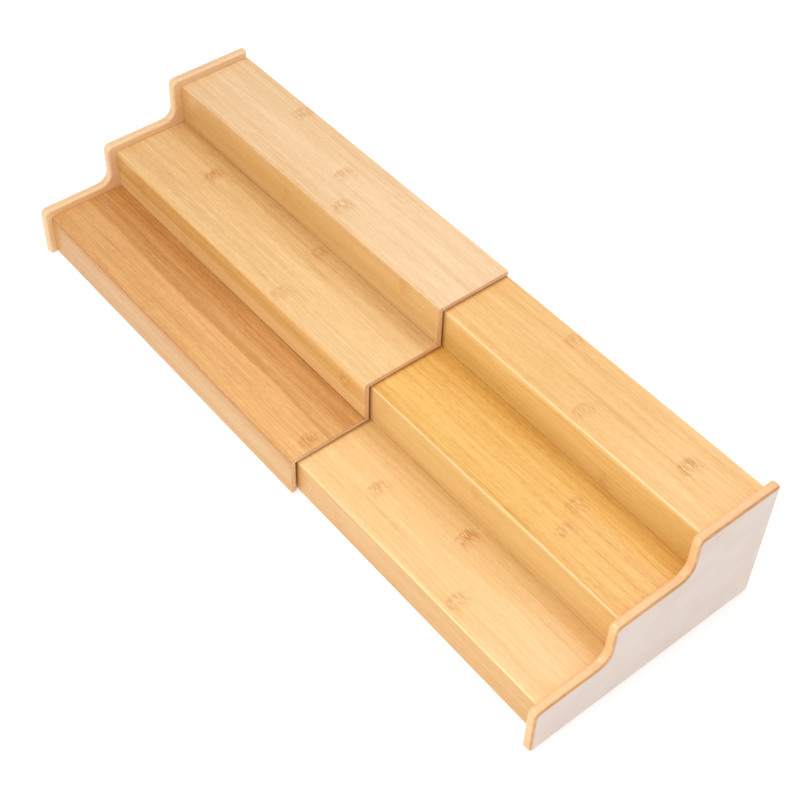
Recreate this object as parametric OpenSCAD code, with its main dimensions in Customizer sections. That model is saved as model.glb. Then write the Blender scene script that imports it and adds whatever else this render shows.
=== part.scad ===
// Expandable three-tier step shelf for spice jars.
// Two stepped half shelves of thin bamboo boards: the outer half laps over the inner half,
// which slides out from under it along X. Treads are the shelf boards and risers the upright
// boards between them, mitred together along each step's nose. Every board is a straight bar
// with its section in the YZ plane.

/* [Lengths] */
// Length of the outer half's boards, from its end panel to its open end
outer_length = 345; // [250:1:450]
// Length of the inner half's boards, from its end panel to its open end
inner_length = 345; // [250:1:450]
// How far the two halves overlap as the rack is set up
overlap = 78; // [40:1:150]

/* [Steps] */
// Height of the lowest tread's top above the surface the rack stands on
first_height = 40; // [30:1:60]
// Rise from one tread to the next
step_rise = 37; // [25:1:60]
// Depth of one step, from one riser's face to the next
step_depth = 70; // [50:1:100]

/* [Boards] */
// Thickness of the tread and riser boards
board_thickness = 4.5; // [3.5:0.5:6]
// Radius of the rounded nose along each tread's front edge
nose_radius = 3; // [1:0.5:3]
// Depth of the rebate along a tread's back edge, which the next riser stands in
riser_rebate = 1.5; // [0.5:0.5:2]
// Gap between the lowest risers and the surface the rack stands on
ground_gap = 2.5; // [1:0.5:6]

/* [Sliding fit] */
// Gap between the two halves' risers, front to back
slide_gap_y = 1.8; // [0.5:0.1:3]
// Gap between the two halves' treads, top to bottom
slide_gap_z = 1.3; // [0.5:0.1:3]

/* [End panels] */
// Thickness of the end panels
panel_thickness = 8; // [6:0.5:14]
// How far the panels stand out in front of the lowest risers
panel_front = 6; // [0:0.5:15]
// How far the panels' steps stand out in front of the upper risers
panel_reveal = 8.5; // [3:0.5:15]
// How far the panels' top edges stand above the outer half's treads
panel_lip = 7; // [3:0.5:15]
// Radius of the panels' outside step corners
corner_radius = 6; // [2:0.5:10]
// Radius of the panels' inside step corners
fillet_radius = 11; // [4:0.5:14]
// Radius of the panels' two corners at the foot
foot_radius = 3; // [0.5:0.5:4]
// Radius of the panels' top corner at the back
back_radius = 1.5; // [0.5:0.5:4]

/* [Housing joints] */
// Depth of the stepped groove that takes the boards' ends
groove_depth = 3; // [1.5:0.5:4]
// Shoulder cut from each board's show face to leave its tongue
shoulder = 1; // [0.5:0.5:2]

/* [Support panel] */
// Thickness of the stepped panel under the inner half's open end
support_thickness = 8; // [5:0.5:14]
// How far the support panel is set in from the inner boards' open end
support_inset = 12; // [0:1:60]

/* [Hidden] */
$fn = 64;

LOW = 0;
MID = 1;
TOP = 2;
STEPS = [LOW, MID, TOP];

// Offset of a half's section from the outer half's: [towards the back, downwards]
OUTER = [0, 0];
INNER = [board_thickness + slide_gap_y, board_thickness + slide_gap_z];

// Distance between the two end panels' inner faces, and the whole rack's depth behind the low riser
spread = outer_length + inner_length - overlap;
rack_depth = len(STEPS) * step_depth;

pale = "#f2cf98";
honey = "#efbd7a";
amber = "#dca066";
panel_colour = "#e8c9a6";

// Where the front face of a half's riser lies, and the top of its tread
function riser_y(half, step) = half[0] + step * step_depth;
function tread_z(half, step) = first_height - half[1] + step * step_rise;
function tread_back(half, step) =
    step == TOP ? rack_depth : riser_y(half, step + 1) + board_thickness;
function riser_bottom(half, step) =
    step == LOW ? ground_gap : tread_z(half, step - 1) - riser_rebate;

// Puts the rack's bottom centre at the origin
module place() {
    translate([-spread / 2, -(rack_depth - panel_front) / 2, 0]) children();
}

// Runs a section drawn in the YZ plane along X
module along_x(start, length) {
    translate([start, 0, 0]) rotate([90, 0, 90]) linear_extrude(length) children();
}

module box2(low, high) {
    translate(low) square([high[0] - low[0], high[1] - low[1]]);
}

// A square with its corner at the origin rounded off, less the square: the waste of a roundover
module corner_waste(radius) {
    difference() {
        translate([-1, -1]) square(radius + 1);
        translate([radius, radius]) circle(radius);
    }
}

// Takes the rounded nose off the corner where a tread and its riser meet
module nosed(half, step) {
    difference() {
        children();
        translate([riser_y(half, step), tread_z(half, step)]) mirror([0, 1]) corner_waste(nose_radius);
    }
}

// Section of a tread: mitred to its own riser in front, with a rebate for the next riser behind
module tread_section(half, step) {
    front = riser_y(half, step);
    top = tread_z(half, step);
    back = tread_back(half, step);
    under = top - board_thickness;
    nosed(half, step) difference() {
        polygon([[front, top], [back, top], [back, under], [front + board_thickness, under]]);
        if (step != TOP) {
            box2([back - board_thickness, top - riser_rebate], [back + 1, top + 1]);
        }
    }
}

// Section of a riser: mitred to its own tread above, standing in the rebate of the tread below
module riser_section(half, step) {
    front = riser_y(half, step);
    back = front + board_thickness;
    top = tread_z(half, step);
    bottom = riser_bottom(half, step);
    nosed(half, step) polygon([[front, bottom], [front, top], [back, top - board_thickness], [back, bottom]]);
}

// Section of a board's tongue: the board less a shoulder along its show face
module tongue(half, step) {
    intersection() {
        children();
        box2(
            [riser_y(half, step) + shoulder, 0],
            [rack_depth, tread_z(half, step) - shoulder]
        );
    }
}

// Stepped outline that the two end panels share
module panel_outline() {
    difference() {
        union() {
            for (step = STEPS) panel_step(step);
            for (step = [MID, TOP]) {
                translate([panel_step_y(step), panel_step_z(step - 1)]) mirror([1, 0]) corner_waste(fillet_radius);
            }
        }
        translate([-panel_front, 0]) corner_waste(foot_radius);
        translate([rack_depth, 0]) mirror([1, 0]) corner_waste(foot_radius);
        translate([rack_depth, panel_step_z(TOP)]) rotate(180) corner_waste(back_radius);
    }
}

function panel_step_y(step) = step == LOW ? -panel_front : step * step_depth - panel_reveal;
function panel_step_z(step) = tread_z(OUTER, step) + panel_lip;

module panel_step(step) {
    difference() {
        box2([panel_step_y(step), 0], [rack_depth, panel_step_z(step)]);
        translate([panel_step_y(step), panel_step_z(step)]) mirror([0, 1]) corner_waste(corner_radius);
    }
}

// Outline of the support panel: it fills the inner half's steps from below
module support_outline() {
    for (step = STEPS) {
        box2(
            [riser_y(INNER, step) + board_thickness, 0],
            [rack_depth, tread_z(INNER, step) - board_thickness]
        );
    }
}

// An end panel with its groove, from its inner face outwards
module end_panel(half, inner_face, outwards) {
    outer_face = inner_face + outwards * panel_thickness;
    groove_end = inner_face + outwards * groove_depth;
    difference() {
        along_x(min(inner_face, outer_face), panel_thickness) panel_outline();
        along_x(min(inner_face - outwards, groove_end), groove_depth + 1) {
            for (step = STEPS) {
                tongue(half, step) tread_section(half, step);
                tongue(half, step) riser_section(half, step);
            }
        }
    }
}

// A board of the outer half, or of the inner half, with its tongue in the end panel's groove
module outer_board(step) {
    along_x(0, outer_length) children();
    along_x(-groove_depth, groove_depth + 1) tongue(OUTER, step) children();
}

module inner_board(step) {
    along_x(spread - inner_length, inner_length) children();
    along_x(spread - 1, groove_depth + 1) tongue(INNER, step) children();
}

module outer_tread(step) {
    outer_board(step) tread_section(OUTER, step);
}

module outer_riser(step) {
    outer_board(step) riser_section(OUTER, step);
}

module inner_tread(step) {
    inner_board(step) tread_section(INNER, step);
}

module inner_riser(step) {
    inner_board(step) riser_section(INNER, step);
}

module outer_end_panel() {
    color(panel_colour) place() end_panel(OUTER, 0, -1);
}

module outer_tread_low() {
    color(amber) place() outer_tread(LOW);
}

module outer_tread_mid() {
    color(pale) place() outer_tread(MID);
}

module outer_tread_top() {
    color(pale) place() outer_tread(TOP);
}

module outer_riser_low() {
    color(honey) place() outer_riser(LOW);
}

module outer_riser_mid() {
    color(amber) place() outer_riser(MID);
}

module outer_riser_top() {
    color(amber) place() outer_riser(TOP);
}

module inner_end_panel() {
    color(panel_colour) place() end_panel(INNER, spread, 1);
}

module inner_tread_low() {
    color(pale) place() inner_tread(LOW);
}

module inner_tread_mid() {
    color(honey) place() inner_tread(MID);
}

module inner_tread_top() {
    color(honey) place() inner_tread(TOP);
}

module inner_riser_low() {
    color(honey) place() inner_riser(LOW);
}

module inner_riser_mid() {
    color(honey) place() inner_riser(MID);
}

module inner_riser_top() {
    color(honey) place() inner_riser(TOP);
}

module inner_support_panel() {
    start = spread - inner_length + support_inset;
    color(panel_colour) place() along_x(start, support_thickness) support_outline();
}

outer_end_panel();
outer_tread_low();
outer_tread_mid();
outer_tread_top();
outer_riser_low();
outer_riser_mid();
outer_riser_top();
inner_end_panel();
inner_tread_low();
inner_tread_mid();
inner_tread_top();
inner_riser_low();
inner_riser_mid();
inner_riser_top();
inner_support_panel();
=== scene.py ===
"""Expandable bamboo step shelf for spice jars: looks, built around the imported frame."""
import math
from collections import namedtuple

import bmesh
import bpy
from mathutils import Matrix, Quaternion, Vector


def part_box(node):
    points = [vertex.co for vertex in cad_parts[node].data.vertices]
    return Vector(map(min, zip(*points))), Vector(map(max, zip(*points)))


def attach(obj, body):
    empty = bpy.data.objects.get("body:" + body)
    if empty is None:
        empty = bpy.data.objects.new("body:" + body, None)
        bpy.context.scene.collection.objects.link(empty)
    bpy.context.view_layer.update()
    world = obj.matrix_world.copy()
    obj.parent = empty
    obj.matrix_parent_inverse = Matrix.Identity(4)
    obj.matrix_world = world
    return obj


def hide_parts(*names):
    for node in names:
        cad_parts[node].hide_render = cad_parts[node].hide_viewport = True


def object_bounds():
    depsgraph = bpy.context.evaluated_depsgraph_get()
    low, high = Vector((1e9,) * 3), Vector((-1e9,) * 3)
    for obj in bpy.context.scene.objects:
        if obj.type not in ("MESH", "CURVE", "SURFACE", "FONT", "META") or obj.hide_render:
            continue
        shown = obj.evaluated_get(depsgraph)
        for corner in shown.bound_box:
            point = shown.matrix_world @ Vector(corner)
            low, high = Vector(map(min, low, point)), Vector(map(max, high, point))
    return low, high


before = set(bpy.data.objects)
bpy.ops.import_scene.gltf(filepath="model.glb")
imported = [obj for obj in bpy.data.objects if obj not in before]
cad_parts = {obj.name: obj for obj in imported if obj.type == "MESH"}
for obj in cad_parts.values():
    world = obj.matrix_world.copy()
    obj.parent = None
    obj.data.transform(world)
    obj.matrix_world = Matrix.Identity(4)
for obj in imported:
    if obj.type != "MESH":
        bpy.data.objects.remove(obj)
cad_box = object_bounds()

TIERS = ("low", "mid", "top")
HALVES = ("outer", "inner")

# Shapes, in metres
NOSE_RADIUS = 0.0030     # rounded nose where a tread meets its riser
FREE_EDGE = 0.0004       # eased edges of a board's open end and back
JOINT_EDGE = 0.0003      # eased end of a board where it meets its end panel
RIM_RADIUS = 0.0024      # roundover round an end panel
STEP_REVEAL = 0.0085     # how far an end panel's step stands out in front of a riser
CORNER_RADIUS = 0.0060   # outside corner of a panel's step
FILLET_RADIUS = 0.0110   # inside corner of a panel's step
FOOT_RADIUS = 0.0030     # a panel's two corners at the foot
BACK_RADIUS = 0.0015     # a panel's top corner at the back
ARC_STEPS = 8            # straight pieces in an outline's arc
RIM_STEPS = 6            # rings in a rim's roundover
WELD = 1e-7              # points closer than this are one
FLAT = 0.999             # a face this square to X counts as flat
SHARP_ANGLE = math.radians(35)
MM = 0.001
DIAGONAL = math.sqrt(0.5)


# ---------------------------------------------------------------- outlines in the YZ plane

# A corner of an outline run clockwise; joined marks the edge that follows it as glued to another board
Corner = namedtuple("Corner", "y z radius joined", defaults=(0.0, False))


def turned(v, angle):
    c, s = math.cos(angle), math.sin(angle)
    return Vector((v.x * c - v.y * s, v.x * s + v.y * c))


def edge_direction(a, b):
    return Vector((b.y - a.y, b.z - a.z)).normalized()


def inset_corners(corners, inset):
    """Shifts an outline's free edges inwards; outside radii shrink and inside radii grow."""
    result = []
    for i, corner in enumerate(corners):
        before, after = corners[i - 1], corners[(i + 1) % len(corners)]
        into, out = edge_direction(before, corner), edge_direction(corner, after)
        cross = into.x * out.y - into.y * out.x
        shift = (into * (0 if corner.joined else inset) - out * (0 if before.joined else inset)) / cross
        radius = corner.radius
        if radius > 0:
            radius = max(radius - inset, 0) if cross < 0 else radius + inset
        result.append(Corner(corner.y + shift.x, corner.z + shift.y, radius, corner.joined))
    return result


def arc_points(before, corner, after):
    """Points of the arc that rounds a corner."""
    into, out = edge_direction(corner, before), edge_direction(corner, after)
    half = into.angle(out) / 2
    place = Vector((corner.y, corner.z))
    centre = place + (into + out).normalized() * (corner.radius / math.sin(half))
    start = place + into * (corner.radius / math.tan(half)) - centre
    end = place + out * (corner.radius / math.tan(half)) - centre
    turn = start.angle_signed(end)
    return [centre + turned(start, -turn * k / ARC_STEPS) for k in range(ARC_STEPS + 1)]


def outline(corners, inset=0.0):
    points = []
    moved = inset_corners(corners, inset)
    for i, corner in enumerate(moved):
        if corners[i].radius > 0 and corner.radius > 0:
            points += arc_points(moved[i - 1], corner, moved[(i + 1) % len(moved)])
        else:
            copies = ARC_STEPS + 1 if corners[i].radius > 0 else 1
            points += [Vector((corner.y, corner.z))] * copies
    return points


# ---------------------------------------------------------------- meshes

def slab(name, x_low, x_high, corners, low_rim, high_rim):
    """A board along X with the given section, its two ends rounded over by their rims."""
    rings = []
    for inwards, x_face, rim in ((1, x_low, low_rim), (-1, x_high, high_rim)):
        part = []
        for k in range(RIM_STEPS + 1):
            angle = math.pi / 2 * k / RIM_STEPS
            part.append((x_face + inwards * rim * (1 - math.cos(angle)),
                         outline(corners, rim * (1 - math.sin(angle)))))
        rings += part if inwards > 0 else reversed(part)
    bm = bmesh.new()
    loops = [[bm.verts.new((x, p.x, p.y)) for p in points] for x, points in rings]
    for a, b in zip(loops, loops[1:]):
        for i in range(len(a)):
            j = (i + 1) % len(a)
            bm.faces.new((a[i], a[j], b[j], b[i]))
    bm.faces.new(loops[0])
    bm.faces.new(list(reversed(loops[-1])))
    bmesh.ops.remove_doubles(bm, verts=bm.verts, dist=WELD)
    bmesh.ops.recalc_face_normals(bm, faces=bm.faces)
    return new_object(name, bm)


def new_object(name, bm):
    """An object from bm, smooth over its rounded edges and true on its flat faces."""
    mesh = bpy.data.meshes.new(name)
    bm.to_mesh(mesh)
    bm.free()
    mesh.shade_smooth()
    mesh.set_sharp_from_angle(angle=SHARP_ANGLE)
    obj = bpy.data.objects.new(name, mesh)
    bpy.context.scene.collection.objects.link(obj)
    flats = obj.modifiers.new("true_flats", "WEIGHTED_NORMAL")
    flats.keep_sharp = True
    return obj


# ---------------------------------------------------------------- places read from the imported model

Step = namedtuple("Step", "front top thick back")


def step_place(half, tier):
    """A step's front, its tread's top, the boards' thickness and the tread's back, in metres."""
    riser_low, riser_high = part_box(f"{half}_riser_{tier}")
    tread_low, tread_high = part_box(f"{half}_tread_{tier}")
    return Step(riser_low.y, tread_high.z, riser_high.y - riser_low.y, tread_high.y)


def tier_above(tier):
    return dict(zip(TIERS, TIERS[1:])).get(tier)


def tier_below(tier):
    return dict(zip(TIERS[1:], TIERS)).get(tier)


def panel_face(half):
    """Where the half's end panel meets its boards."""
    low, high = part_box(half + "_end_panel")
    return high.x if half == "outer" else low.x


def tread_corners(half, tier):
    """A tread, mitred to its riser under the nose, with a rebate behind for the next riser."""
    front, top, thick, back = step_place(half, tier)
    cut = NOSE_RADIUS * (1 - DIAGONAL)
    corners = [Corner(front + thick, top - thick, joined=True),
               Corner(front + cut, top - cut),
               Corner(front + 2 * cut, top, NOSE_RADIUS)]
    above = tier_above(tier)
    if above:
        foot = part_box(f"{half}_riser_{above}")[0].z
        corners += [Corner(back - thick, top, joined=True),
                    Corner(back - thick, foot, joined=True),
                    Corner(back, foot)]
    else:
        corners.append(Corner(back, top, FREE_EDGE))
    return corners + [Corner(back, top - thick, FREE_EDGE)]


def riser_corners(half, tier):
    """A riser, mitred to its tread under the nose."""
    front, top, thick, _ = step_place(half, tier)
    cut = NOSE_RADIUS * (1 - DIAGONAL)
    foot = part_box(f"{half}_riser_{tier}")[0].z
    edge = 0 if tier_below(tier) else FREE_EDGE
    return [Corner(front, foot, edge),
            Corner(front, top - 2 * cut, NOSE_RADIUS),
            Corner(front + cut, top - cut, joined=True),
            Corner(front + thick, top - thick),
            Corner(front + thick, foot, edge)]


def panel_corners(half):
    """The stepped outline of an end panel, which follows the outer half's steps."""
    low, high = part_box(half + "_end_panel")
    lip = high.z - step_place("outer", "top").top
    corners = [Corner(low.y, low.z, FOOT_RADIUS)]
    front = low.y
    for tier in TIERS:
        top = step_place("outer", tier).top + lip
        corners.append(Corner(front, top, CORNER_RADIUS))
        if tier_above(tier):
            front = step_place("outer", tier_above(tier)).front - STEP_REVEAL
            corners.append(Corner(front, top, FILLET_RADIUS))
    return corners + [Corner(high.y, high.z, BACK_RADIUS), Corner(high.y, low.z, FOOT_RADIUS)]


def support_corners():
    """The support panel fills the inner half's steps from below."""
    low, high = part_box("inner_support_panel")
    corners = [Corner(low.y, low.z, FREE_EDGE)]
    for tier in TIERS:
        front, top, thick, _ = step_place("inner", tier)
        corners.append(Corner(front + thick, top - thick))
        if tier_above(tier):
            corners.append(Corner(step_place("inner", tier_above(tier)).front + thick, top - thick))
    return corners + [Corner(high.y, low.z, FREE_EDGE)]


# ---------------------------------------------------------------- materials

def srgb(code):
    """Linear colour from a 0xRRGGBB screen colour."""
    parts = [(code >> shift & 255) / 255 for shift in (16, 8, 0)]
    return [p / 12.92 if p <= 0.04045 else ((p + 0.055) / 1.055) ** 2.4 for p in parts] + [1.0]


class Nodes:
    """Short ways to add shader nodes to one material."""

    def __init__(self, material, order=("X", "Y", "Z")):
        """order names the axes along the grain, across it and through the board."""
        material.use_nodes = True
        self.tree = material.node_tree
        self.shader = self.tree.nodes["Principled BSDF"]
        place = self.tree.nodes.new("ShaderNodeTexCoord")
        split = self.tree.nodes.new("ShaderNodeSeparateXYZ")
        self.place = place.outputs["Object"]
        self.tree.links.new(self.place, split.inputs[0])
        self.along, self.across, self.through = (split.outputs[axis] for axis in order)

    def link(self, value, socket):
        if isinstance(value, (int, float, list, tuple)):
            socket.default_value = value
        else:
            self.tree.links.new(value, socket)

    def math(self, operation, a, b=0.0):
        node = self.tree.nodes.new("ShaderNodeMath")
        node.operation = operation
        self.link(a, node.inputs[0])
        self.link(b, node.inputs[1])
        return node.outputs[0]

    def add(self, a, b):
        return self.math("ADD", a, b)

    def times(self, a, b):
        return self.math("MULTIPLY", a, b)

    def mix(self, factor, a, b):
        """Colour between a and b; a factor below 0 or above 1 goes on past them."""
        node = self.tree.nodes.new("ShaderNodeMix")
        node.data_type = "RGBA"
        node.clamp_factor = False
        colour_a, colour_b = (socket for socket in node.inputs if socket.type == "RGBA")
        self.link(factor, node.inputs["Factor"])
        self.link(a, colour_a)
        self.link(b, colour_b)
        return next(socket for socket in node.outputs if socket.type == "RGBA")

    def span(self, value, low, high, to_low=0.0, to_high=1.0):
        """Maps low..high smoothly onto to_low..to_high."""
        node = self.tree.nodes.new("ShaderNodeMapRange")
        node.interpolation_type = "SMOOTHSTEP"
        self.link(value, node.inputs["Value"])
        for name, limit in zip(("From Min", "From Max", "To Min", "To Max"), (low, high, to_low, to_high)):
            node.inputs[name].default_value = limit
        return node.outputs[0]

    def vector(self, x, y, z):
        node = self.tree.nodes.new("ShaderNodeCombineXYZ")
        for value, socket in zip((x, y, z), node.inputs):
            self.link(value, socket)
        return node.outputs[0]

    def noise(self, lane, size, seed, detail=2.0):
        """Noise with grains of size = (along, across, through) metres; lane is the place across."""
        places = [self.add(self.math("DIVIDE", place, grain), seed * step)
                  for place, grain, step in zip((self.along, lane, self.through), size, (1.0, 1.7, 2.3))]
        node = self.tree.nodes.new("ShaderNodeTexNoise")
        node.inputs["Scale"].default_value = 1.0
        node.inputs["Detail"].default_value = detail
        self.tree.links.new(self.vector(*places), node.inputs["Vector"])
        return node.outputs["Fac"]

    def plane_distance(self, normal, offset):
        """Distance from the plane with this unit normal, at offset from the origin."""
        node = self.tree.nodes.new("ShaderNodeVectorMath")
        node.operation = "DOT_PRODUCT"
        self.tree.links.new(self.place, node.inputs[0])
        node.inputs[1].default_value = normal
        return self.math("ABSOLUTE", self.math("SUBTRACT", node.outputs["Value"], offset))

    def bump(self, height, strength, distance):
        node = self.tree.nodes.new("ShaderNodeBump")
        node.inputs["Strength"].default_value = strength
        node.inputs["Distance"].default_value = distance
        self.tree.links.new(height, node.inputs["Height"])
        self.tree.links.new(node.outputs[0], self.shader.inputs["Normal"])

    def lacquer(self):
        self.shader.inputs["Coat Weight"].default_value = COAT_WEIGHT
        self.shader.inputs["Coat Roughness"].default_value = COAT_ROUGHNESS


COAT_WEIGHT = 0.3
COAT_ROUGHNESS = 0.14
BAMBOO_ROUGHNESS = (0.36, 0.48)   # in pale and in dark grain
BUMP_STRENGTH, BUMP_DEPTH = 0.10, 0.0002

# Noise that makes the wood: (size along, across and through the board in metres, detail, share)
WOOD_LAYERS = (((0.30, 0.012, 0.02), 2.0, 1.0),      # bands
               ((0.16, 0.0040, 0.01), 2.0, 0.7),     # streaks
               ((0.08, 0.0016, 0.004), 1.0, 0.8),    # fibres
               ((0.03, 0.0008, 0.002), 1.0, 0.9),    # fine fibres
               ((0.006, 0.0007, 0.001), 1.0, 1.0))   # short vessels
WOOD_SWING = 0.2          # how far the wood's noise usually gets from zero
WANDER_SIZE = (0.10, 0.03, 0.03)
WANDER_REACH = 0.005      # how far the grain wanders sideways

STRIP_BLEND = 0.0012      # half the width over which one strip's tone turns into the next
OUTER_PAINTED_SHADE = 0.30        # painted shade: how much deeper the outer boards are at their panel than at their open end
CORNER_SHADE_REACH = 0.009      # how far the painted shade in an inside corner reaches
CORNER_SHADE_DEPTH = 0.15

SCAR_LENGTH = 0.017       # how far a node scar's dashes trail along the grain
SCAR_WIDTH = 0.012        # half its reach across the grain
SCAR_BEND = 0.005         # how far its ring line bends at the ends
SCAR_DARK = srgb(0xBC761C)
SCAR_PALE = srgb(0xFFE4B8)
DARK_SHARE, PALE_SHARE = 0.8, 0.25
RING_WIDTH = (0.0004, 0.0022)     # half the ring line's width, full and faded out
RING_STRENGTH = 0.45
TRAIL_START = (-0.0030, 0.0010)   # where the dashes fade in, from the ring line
DASH_SIZE = (0.006, 0.0010, 0.002)
DARK_DASH = (0.42, 0.58)          # noise at which a dark dash starts and is full
PALE_DASH = (0.48, 0.34)
BETWEEN_DASHES = 0.25             # how dark a scar is between its dashes

# Brown of the joint lines, also used for painted shade along the panels' rims and the cut ends' gap side
SEAM_AND_SHADE_COLOUR = srgb(0x85501E)
SEAM_FAINT = 0.6                  # a seam's strength where the wood beside it is pale
SEAM_SWING = 0.15
PANEL_SEAM = (0.0004, 0.6, SEAM_AND_SHADE_COLOUR)      # half width, strength and colour
FOOT_SEAM_WIDTH = 0.0005
FOOT_SEAM_STRENGTH = {"outer": 0.55, "inner": 0.3}
NOSE_PAINTED_HIGHLIGHT = srgb(0xFFE8C4)        # painted highlight along the inner half's noses
# Line on a nose's mitre plane: a dark joint line on the outer half, a painted highlight on the inner half
NOSE_SEAM_AND_HIGHLIGHT = {"outer": (0.0003, 0.25, SEAM_AND_SHADE_COLOUR), "inner": (0.0006, 0.3, NOSE_PAINTED_HIGHLIGHT)}
RIM_SHADE_LINE = 0.0007         # how far the painted shade line along a panel's rim lies inside its outer face
RIM_PAINTED_SHADE = (0.0006, 0.45, SEAM_AND_SHADE_COLOUR)

CUT_ROUGHNESS = 0.6
CUT_DOT_SIZE = (0.0008, 0.0008, 0.0008)
CUT_LAYER_SIZE = (0.02, 0.02, 0.0012)
CUT_GAP_SHADE_REACH = 0.3       # share of the thickness that the painted shade on a cut end's gap side fades over
CUT_GAP_SHADE_DEPTH = 0.7

FACE_CLOUD_SIZE = (0.035, 0.030, 0.02)
FACE_FIBRE_SIZE = (0.05, 0.0016, 0.002)
FACE_CLOUD_SHARE, FACE_FIBRE_SHARE = 0.85, 0.15
FACE_ROUGHNESS = (0.36, 0.44)
FACE_BUMP_STRENGTH, FACE_BUMP_DEPTH = 0.05, 0.0001


def strip_tone(n, lane, strips):
    """Tone of the strips glued side by side; strips are (where each one starts, its tone)."""
    tone = strips[0][1]
    for (_, before), (start, after) in zip(strips, strips[1:]):
        step = n.span(lane, start - STRIP_BLEND, start + STRIP_BLEND, 0.0, after - before)
        tone = n.add(step, tone)
    return tone


def wood_noise(n, lane, seed):
    """All layers of the wood's noise together, around zero."""
    total = 0.0
    for number, (size, detail, share) in enumerate(WOOD_LAYERS):
        noise = n.math("SUBTRACT", n.noise(lane, size, seed + 3 + 4 * number, detail), 0.5)
        total = n.add(n.times(noise, share), total)
    return total


def scar_marks(n, lane, scars, seed):
    """Dark and pale marks of node scars: a bent ring line with short dashes trailing along the grain."""
    dashes = n.noise(lane, DASH_SIZE, seed + 29, 1.0)
    dark, pale = 0.0, 0.0
    for along, across, strength in scars:
        side = n.math("DIVIDE", n.math("SUBTRACT", lane, across), SCAR_WIDTH)
        bend = n.times(n.times(side, side), SCAR_BEND)
        lead = n.math("SUBTRACT", n.math("SUBTRACT", n.along, along), bend)
        reach = n.span(n.math("ABSOLUTE", side), 0.4, 1.0, strength, 0.0)
        ring = n.span(n.math("ABSOLUTE", lead), *RING_WIDTH, RING_STRENGTH, 0.0)
        fade = n.span(lead, 0.2 * SCAR_LENGTH, SCAR_LENGTH, 1.0, 0.0)
        trail = n.times(n.span(lead, *TRAIL_START), fade)
        marks = n.math("MAXIMUM", ring, n.times(trail, n.span(dashes, *DARK_DASH, BETWEEN_DASHES, 1.0)))
        dark = n.math("MAXIMUM", dark, n.times(reach, marks))
        pale = n.math("MAXIMUM", pale, n.times(reach, n.times(trail, n.span(dashes, *PALE_DASH))))
    return dark, pale


def with_scars(n, colour, lane, scars, seed):
    dark, pale = scar_marks(n, lane, scars, seed)
    colour = n.mix(n.times(dark, DARK_SHARE), colour, SCAR_DARK)
    return n.mix(n.times(pale, PALE_SHARE), colour, SCAR_PALE)


def with_seams_and_painted_light(n, colour, wood, seams_and_painted_light):
    """Adds the thin lines along the joints, the painted shade line along a panel's rim and the painted
    highlight along the inner half's noses, fainter where the wood is pale.
    """
    for normal, offset, half_width, strength, line_colour in seams_and_painted_light:
        distance = n.plane_distance(normal, offset)
        line = n.span(distance, 0.5 * half_width, 1.5 * half_width, strength, 0.0)
        shown = n.span(wood, -SEAM_SWING, SEAM_SWING, SEAM_FAINT, 1.0)
        colour = n.mix(n.times(line, shown), colour, line_colour)
    return colour


def bamboo(name, look, order, seed, strips=((0.0, 0.4),), seams_and_painted_light=(), scars=(), painted_shade=None, shaded_corners=()):
    """Lacquered bamboo: strips, bands, long fibres, node scars, thin lines along the joints, and painted
    shade and highlights.

    look is the light and deep colours and the strength of the grain; seams_and_painted_light are (normal,
    offset, half width, strength, colour) planes of joint lines, painted shade lines and painted highlight
    lines; painted_shade is (place, place, tone), the painted shade gained between two places along the
    grain; shaded_corners are (normal, offset) planes that painted shade deepens the tone towards.
    """
    material = bpy.data.materials.new(name)
    n = Nodes(material, order)
    light, deep, grain = look
    wander = n.math("SUBTRACT", n.noise(n.across, WANDER_SIZE, seed), 0.5)
    lane = n.add(n.across, n.times(wander, WANDER_REACH))
    wood = wood_noise(n, lane, seed)
    tone = n.add(n.times(wood, grain), strip_tone(n, lane, strips))
    # Painted shade: the tone deepens between two places along the grain
    if painted_shade:
        start, end, gain = painted_shade
        tone = n.add(n.span(n.along, start, end, 0.0, gain), tone)
    # Painted shade deepening the tone towards inside corners
    for normal, offset in shaded_corners:
        tone = n.add(n.span(n.plane_distance(normal, offset), CORNER_SHADE_REACH, 0.0, 0.0, CORNER_SHADE_DEPTH), tone)
    colour = n.mix(tone, light, deep)
    if scars:
        colour = with_scars(n, colour, lane, scars, seed)
    n.link(with_seams_and_painted_light(n, colour, wood, seams_and_painted_light), n.shader.inputs["Base Color"])
    n.link(n.span(wood, -WOOD_SWING, WOOD_SWING, *BAMBOO_ROUGHNESS), n.shader.inputs["Roughness"])
    n.bump(wood, BUMP_STRENGTH, BUMP_DEPTH)
    n.lacquer()
    return material


def cut_end(name, order, seed, gap_side, show_side):
    """Cut end of a board: pale fibre ends in thin layers, with painted shade along the side that faces the
    gap.
    """
    material = bpy.data.materials.new(name)
    n = Nodes(material, order)
    dots = n.noise(n.across, CUT_DOT_SIZE, seed, 1.0)
    layers = n.noise(n.across, CUT_LAYER_SIZE, seed + 5, 2.0)
    colour = n.mix(n.span(n.add(dots, layers), 0.7, 1.3), CUT_LIGHT, CUT_DEEP)
    faded = gap_side + CUT_GAP_SHADE_REACH * (show_side - gap_side)
    # Painted shade along the side of the cut end that faces the gap
    colour = n.mix(n.span(n.through, gap_side, faded, CUT_GAP_SHADE_DEPTH, 0.0), colour, SEAM_AND_SHADE_COLOUR)
    n.link(colour, n.shader.inputs["Base Color"])
    n.shader.inputs["Roughness"].default_value = CUT_ROUGHNESS
    return material


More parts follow.
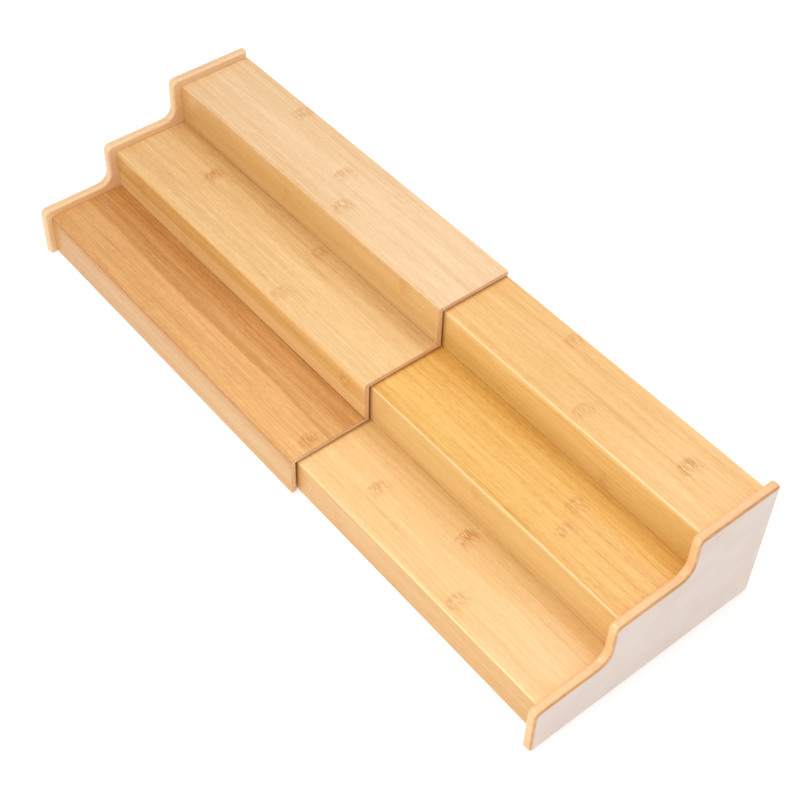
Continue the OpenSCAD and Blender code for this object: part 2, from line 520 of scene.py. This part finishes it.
def pale_face(name, order, seed):
    """An end panel's outer face: smooth pale wood under lacquer, faintly mottled."""
    material = bpy.data.materials.new(name)
    n = Nodes(material, order)
    cloud = n.noise(n.across, FACE_CLOUD_SIZE, seed, 2.0)
    fibres = n.noise(n.across, FACE_FIBRE_SIZE, seed + 3, 2.0)
    tone = n.add(n.times(cloud, FACE_CLOUD_SHARE), n.times(fibres, FACE_FIBRE_SHARE))
    n.link(n.mix(n.span(tone, 0.35, 0.65), FACE_LIGHT, FACE_DEEP), n.shader.inputs["Base Color"])
    n.link(n.span(cloud, 0.3, 0.7, *FACE_ROUGHNESS), n.shader.inputs["Roughness"])
    n.bump(fibres, FACE_BUMP_STRENGTH, FACE_BUMP_DEPTH)
    n.lacquer()
    return material


# Screen colours of each board, light and deep, then the strength of its grain
LOOKS = {
    "outer_tread_low": (0xE0AC6C, 0xBC8040, 0.8),
    "outer_tread_mid": (0xE8C48C, 0xD0A064, 0.9),
    "outer_tread_top": (0xECCCA4, 0xD8AC78, 0.8),
    "outer_riser_low": (0xD0A464, 0xBC8444, 0.7),
    "outer_riser_mid": (0xE4B87C, 0xC89854, 0.8),
    "outer_riser_top": (0xDCB074, 0xC09050, 0.7),
    "inner_tread_low": (0xECC48C, 0xD4A45C, 0.8),
    "inner_tread_mid": (0xE8B864, 0xCC9038, 1.0),
    "inner_tread_top": (0xECC080, 0xD49C50, 0.8),
    "inner_riser_low": (0xD4A460, 0xBC843C, 0.6),
    "inner_riser_mid": (0xE0B878, 0xC89850, 0.6),
    "inner_riser_top": (0xE0B470, 0xC49444, 0.7),
    "outer_end_panel": (0xE8C498, 0xD8A874, 0.7),
    "inner_end_panel": (0xF0BC84, 0xDCA068, 0.7),
    "inner_support_panel": (0xECC898, 0xD0A068, 0.7),
}
CUT_LIGHT, CUT_DEEP = srgb(0xF4CCA4), srgb(0xD8A880)
FACE_LIGHT, FACE_DEEP = srgb(0xE2D0C4), srgb(0xDFCABC)

# Strips of each board: (distance from the step's front edge or below its top, tone), in mm
STRIPS = {
    "outer_tread_low": ((0, 0.5), (3, 0.25), (36, 0.6)),
    "outer_tread_mid": ((0, 0.4), (26, 0.45), (31, 0.35), (57, 0.55)),
    "outer_tread_top": ((0, 0.8), (3, 0.42), (34, 0.36), (51, 0.48)),
    "outer_riser_low": ((0, 0.95), (5, 0.45)),
    "outer_riser_mid": ((0, 0.25), (5, 0.75), (22, 0.2)),
    "outer_riser_top": ((0, 0.5), (13, 0.45)),
    "inner_tread_low": ((0, 0.35), (58, 0.5)),
    "inner_tread_mid": ((0, 0.5), (5, 0.35), (36, 0.45), (58, 0.6)),
    "inner_tread_top": ((0, 0.4), (24, 0.42)),
    "inner_riser_low": ((0, 0.4), (22, 0.48)),
    "inner_riser_mid": ((0, 0.4), (29, 0.5)),
    "inner_riser_top": ((0, 0.12), (5, 0.45), (21, 0.6)),
}

# Node scars: (along X, distance from the step's front edge or height below its top, strength), in mm
SCARS = {
    "outer_tread_top": ((-219, 61, 0.7), (-134, 40, 0.5), (-104, 15, 0.7)),
    "outer_tread_mid": ((-235, 50, 1.0), (-85, 9, 0.5), (-103, 63, 0.7)),
    "outer_tread_low": ((-171, 12, 0.4), (25, 24, 0.9)),
    "outer_riser_top": ((-161, 18, 0.5), (-7, 7, 0.7)),
    "outer_riser_mid": ((-275, 17, 0.8), (-208, 26, 0.4), (9, 16, 0.7)),
    "inner_tread_low": ((90, 32, 0.6), (165, 54, 1.0), (202, 13, 0.6)),
    "inner_tread_mid": ((210, 44, 0.6), (222, 23, 0.6)),
    "inner_tread_top": ((115, 56, 0.5), (170, 14, 0.6), (252, 36, 0.9)),
    "inner_riser_top": ((211, 30, 0.6),),
    "inner_riser_mid": ((155, 9, 0.4),),
    "inner_riser_low": ((84, 20, 0.4),),
}

# Axes along the grain, across it and through the board
GRAIN = {"tread": ("X", "Y", "Z"), "riser": ("X", "Z", "Y"), "panel": ("Y", "Z", "X")}


# ---------------------------------------------------------------- pieces

def finish_piece(obj, node, body, materials):
    for material in materials:
        obj.data.materials.append(material)
    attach(obj, body)
    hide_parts(node)


def look_of(node):
    light, deep, grain = LOOKS[node]
    return srgb(light), srgb(deep), grain


def across_board(kind, half, tier, reach):
    """Place across a board, reach mm behind its step's front edge or below its top."""
    step = step_place(half, tier)
    return step.front + reach * MM if kind == "tread" else step.top - reach * MM


def facing_x(obj, sign):
    """The flat faces that look along X, one way or the other."""
    return [face for face in obj.data.polygons if face.normal.x * sign > FLAT]


def board_strips(half, kind, tier):
    """The board's strips in the order that their places rise; the first one's own start isn't used."""
    strips = STRIPS[f"{half}_{kind}_{tier}"]
    places = [across_board(kind, half, tier, start) for start, _ in strips]
    tones = [tone for _, tone in strips]
    if kind == "tread":
        return tuple(zip(places, tones))
    return tuple(zip([None] + places[:0:-1], tones[::-1]))


def board_scars(half, kind, tier):
    return tuple((x * MM, across_board(kind, half, tier, reach), strength)
                 for x, reach, strength in SCARS.get(f"{half}_{kind}_{tier}", ()))


def board_seams_and_painted_light(half, kind, tier):
    """Planes where a board meets its panel, its own tread or riser, and the next board; on the inner half
    the nose's mitre plane carries a painted highlight instead of a dark joint line.
    """
    step = step_place(half, tier)
    foot = (FOOT_SEAM_WIDTH, FOOT_SEAM_STRENGTH[half], SEAM_AND_SHADE_COLOUR)
    seams_and_painted_light = [((1, 0, 0), panel_face(half), *PANEL_SEAM),
             ((0, DIAGONAL, DIAGONAL), (step.front + step.top) * DIAGONAL, *NOSE_SEAM_AND_HIGHLIGHT[half])]
    if kind == "tread" and tier_above(tier):
        seams_and_painted_light.append(((0, 1, 0), step_place(half, tier_above(tier)).front, *foot))
    if kind == "riser" and tier_below(tier):
        seams_and_painted_light.append(((0, 0, 1), step_place(half, tier_below(tier)).top, *foot))
    return seams_and_painted_light


def board_shaded_corners(half, kind, tier):
    """Planes of the inside corners that a board runs into, towards which painted shade deepens its tone.
    """
    shaded_corners = []
    if half == "inner":
        shaded_corners.append(((1, 0, 0), panel_face(half)))
    if kind == "tread" and tier_above(tier):
        shaded_corners.append(((0, 1, 0), step_place(half, tier_above(tier)).front))
    return shaded_corners


def build_board(half, kind, tier, seed):
    node = f"{half}_{kind}_{tier}"
    low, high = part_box(node)
    corners = tread_corners(half, tier) if kind == "tread" else riser_corners(half, tier)
    joint = panel_face(half)
    if half == "outer":
        piece = slab(node + "_board", joint, high.x, corners, JOINT_EDGE, FREE_EDGE)
        # Outer boards get painted shade, deeper towards their end panel
        open_end, painted_shade = 1, (high.x, joint, OUTER_PAINTED_SHADE)
    else:
        piece = slab(node + "_board", low.x, joint, corners, FREE_EDGE, JOINT_EDGE)
        open_end, painted_shade = -1, None
    gap_side, show_side = (low.z, high.z) if kind == "tread" else (high.y, low.y)
    order = GRAIN[kind]
    finish_piece(piece, node, half + "_half", (
        bamboo("bamboo_" + node, look_of(node), order, seed, board_strips(half, kind, tier),
               board_seams_and_painted_light(half, kind, tier), board_scars(half, kind, tier), painted_shade,
               board_shaded_corners(half, kind, tier)),
        cut_end("cut_" + node, order, seed, gap_side, show_side)))
    for face in facing_x(piece, open_end):
        face.material_index = 1


def build_panel(half, seed):
    node = half + "_end_panel"
    low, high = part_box(node)
    piece = slab(node + "_board", low.x, high.x, panel_corners(half), RIM_RADIUS, RIM_RADIUS)
    order = GRAIN["panel"]
    # A painted shade line along the rim's rounding beside the outer face
    rim_shade_place = low.x + RIM_SHADE_LINE if half == "outer" else high.x - RIM_SHADE_LINE
    rim_shade = ((1, 0, 0), rim_shade_place, *RIM_PAINTED_SHADE)
    finish_piece(piece, node, half + "_half", (
        bamboo("bamboo_" + node, look_of(node), order, seed, seams_and_painted_light=(rim_shade,)),
        pale_face("face_" + node, order, seed)))
    for face in facing_x(piece, -1 if half == "outer" else 1):
        face.material_index = 1


def build_support(seed):
    node = "inner_support_panel"
    low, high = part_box(node)
    piece = slab(node + "_board", low.x, high.x, support_corners(), FREE_EDGE, FREE_EDGE)
    finish_piece(piece, node, "inner_half", (
        bamboo("bamboo_" + node, look_of(node), GRAIN["panel"], seed),))


# Seeds that keep one piece's grain unlike the next one's
HALF_SEED = {"outer": 10, "inner": 110}
TIER_SEED = 13
RISER_SEED = 5
PANEL_SEED = 41
SUPPORT_SEED = 97


def build_rack():
    for half in HALVES:
        seed = HALF_SEED[half]
        for i, tier in enumerate(TIERS):
            build_board(half, "tread", tier, seed + i * TIER_SEED)
            build_board(half, "riser", tier, seed + i * TIER_SEED + RISER_SEED)
        build_panel(half, seed + PANEL_SEED)
    build_support(SUPPORT_SEED)


# ---------------------------------------------------------------- camera, floor and light

VIEW_AZIMUTH = 49.2      # degrees; 0 looks along +Y
VIEW_ELEVATION = 48.05
VIEW_ROLL = -2.2
VIEW_DISTANCE = 1.1595   # metres from the aim point
VIEW_AIM = (0.0545, -0.0104, 0.060)
VIEW_LENS = 69.1         # mm
VIEW_SENSOR = 36.0       # mm

FLOOR_SIZE = 12          # metres
FLOOR_GREY = (0.5, 0.5, 0.5, 1)
FLOOR_ROUGHNESS = 0.9
FLOOR_GLOW = 0.6         # keeps the floor white under the soft light
WHITE = (1, 1, 1, 1)

WORLD_LIGHT = 0.66
LIGHT_AIM = (0.1, 0, 0.05)

# Area lights: name, place, side in metres, power in watts
LIGHTS = (("overhead", (0.10, 0.50, 1.2), 0.8, 5.0),
          ("front", (0.30, -0.85, 0.50), 0.8, 4.0),
          ("glint", (-0.20, -0.65, 0.95), 0.30, 3.5))


def build_camera():
    data = bpy.data.cameras.new("camera")
    data.lens = VIEW_LENS
    data.sensor_width = VIEW_SENSOR
    camera = bpy.data.objects.new("camera", data)
    bpy.context.scene.collection.objects.link(camera)
    azimuth, elevation = math.radians(VIEW_AZIMUTH), math.radians(VIEW_ELEVATION)
    back = Vector((math.sin(azimuth) * math.cos(elevation),
                   -math.cos(azimuth) * math.cos(elevation),
                   math.sin(elevation)))
    camera.location = Vector(VIEW_AIM) + back * VIEW_DISTANCE
    camera.rotation_mode = "QUATERNION"
    turn = Quaternion((0, 0, 1), math.radians(-VIEW_ROLL))
    camera.rotation_quaternion = (-back).to_track_quat("-Z", "Y") @ turn
    bpy.context.scene.camera = camera


def build_floor():
    bpy.ops.mesh.primitive_plane_add(size=FLOOR_SIZE, location=(0, 0, cad_box[0].z))
    floor = bpy.context.object
    floor.name = "floor"
    material = bpy.data.materials.new("floor_white")
    n = Nodes(material)
    n.shader.inputs["Base Color"].default_value = FLOOR_GREY
    n.shader.inputs["Roughness"].default_value = FLOOR_ROUGHNESS
    n.shader.inputs["Emission Color"].default_value = WHITE
    n.shader.inputs["Emission Strength"].default_value = FLOOR_GLOW
    floor.data.materials.append(material)


def area_light(name, place, size, power):
    """A square light that shines at the rack's middle."""
    data = bpy.data.lights.new(name, "AREA")
    data.shape = "SQUARE"
    data.size = size
    data.energy = power
    light = bpy.data.objects.new(name, data)
    light.location = place
    light.rotation_mode = "QUATERNION"
    light.rotation_quaternion = (Vector(LIGHT_AIM) - Vector(place)).to_track_quat("-Z", "Y")
    bpy.context.scene.collection.objects.link(light)


def build_light():
    world = bpy.data.worlds.new("studio")
    world.use_nodes = True
    background = world.node_tree.nodes["Background"]
    background.inputs["Color"].default_value = WHITE
    background.inputs["Strength"].default_value = WORLD_LIGHT
    bpy.context.scene.world = world
    for light in LIGHTS:
        area_light(*light)
    bpy.context.scene.view_settings.view_transform = "Standard"


build_camera()
build_floor()
build_light()
build_rack()
